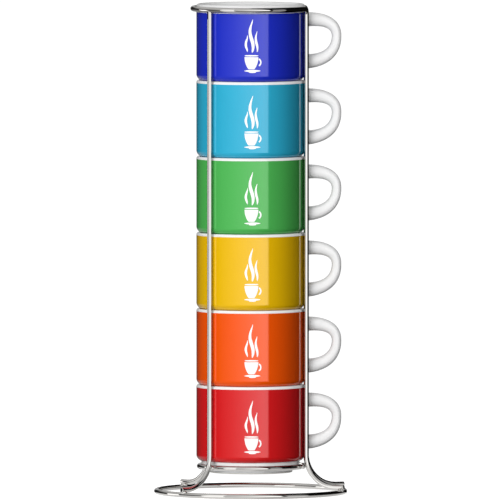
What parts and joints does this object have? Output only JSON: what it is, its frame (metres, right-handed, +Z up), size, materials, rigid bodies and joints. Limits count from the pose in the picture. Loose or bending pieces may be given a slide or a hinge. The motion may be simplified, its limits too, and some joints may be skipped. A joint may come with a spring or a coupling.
{
  "type": "stacking cup tower",
  "caption": "Espresso cups with coloured glaze and white loop handles, nested one on another and held upright in a chrome wire stand with a round base ring.",
  "frame": {"origin": "on the table at the centre of the base ring, which is also the axis of the cups", "axes": "+Z up along the stack, +X towards the cups' handles, front of the stand towards -Y"},
  "size_m": [0.1106, 0.1106, 0.2805],
  "materials": {
    "porcelain": "clear-glazed white porcelain, glossy",
    "red_glaze": "glossy red glaze over porcelain",
    "orange_glaze": "glossy orange glaze over porcelain",
    "yellow_glaze": "glossy yellow glaze over porcelain",
    "green_glaze": "glossy green glaze over porcelain",
    "turquoise_glaze": "glossy turquoise glaze over porcelain",
    "blue_glaze": "glossy blue glaze over porcelain",
    "chrome_wire": "bright chrome plate on polished steel wire"
  },
  "bodies": {
    "stand": {"top_ring_wire": "chrome_wire", "front_left_leg": "chrome_wire", "back_left_leg": "chrome_wire", "rest_ring": "chrome_wire", "base_ring": "chrome_wire", "rest_ring_welds": "chrome_wire", "base_ring_welds": "chrome_wire"},
    "red_cup": {"red_cup_body": "porcelain", "red_cup_glaze": "red_glaze", "red_cup_handle": "porcelain"},
    "orange_cup": {"orange_cup_body": "porcelain", "orange_cup_glaze": "orange_glaze", "orange_cup_handle": "porcelain"},
    "yellow_cup": {"yellow_cup_body": "porcelain", "yellow_cup_glaze": "yellow_glaze", "yellow_cup_handle": "porcelain"},
    "green_cup": {"green_cup_body": "porcelain", "green_cup_glaze": "green_glaze", "green_cup_handle": "porcelain"},
    "turquoise_cup": {"turquoise_cup_body": "porcelain", "turquoise_cup_glaze": "turquoise_glaze", "turquoise_cup_handle": "porcelain"},
    "blue_cup": {"blue_cup_body": "porcelain", "blue_cup_glaze": "blue_glaze", "blue_cup_handle": "porcelain"}
  },
  "joints": [
    {"name": "red_cup_lift", "type": "slide", "parent": "stand", "child": "red_cup", "axis": [0, 0, 1], "range_m": [0, 0.2728]},
    {"name": "orange_cup_lift", "type": "slide", "parent": "red_cup", "child": "orange_cup", "axis": [0, 0, 1], "range_m": [0, 0.2293]},
    {"name": "yellow_cup_lift", "type": "slide", "parent": "orange_cup", "child": "yellow_cup", "axis": [0, 0, 1], "range_m": [0, 0.1857]},
    {"name": "green_cup_lift", "type": "slide", "parent": "yellow_cup", "child": "green_cup", "axis": [0, 0, 1], "range_m": [0, 0.1421]},
    {"name": "turquoise_cup_lift", "type": "slide", "parent": "green_cup", "child": "turquoise_cup", "axis": [0, 0, 1], "range_m": [0, 0.0986]},
    {"name": "blue_cup_lift", "type": "slide", "parent": "turquoise_cup", "child": "blue_cup", "axis": [0, 0, 1], "range_m": [0, 0.055]}
  ]
}
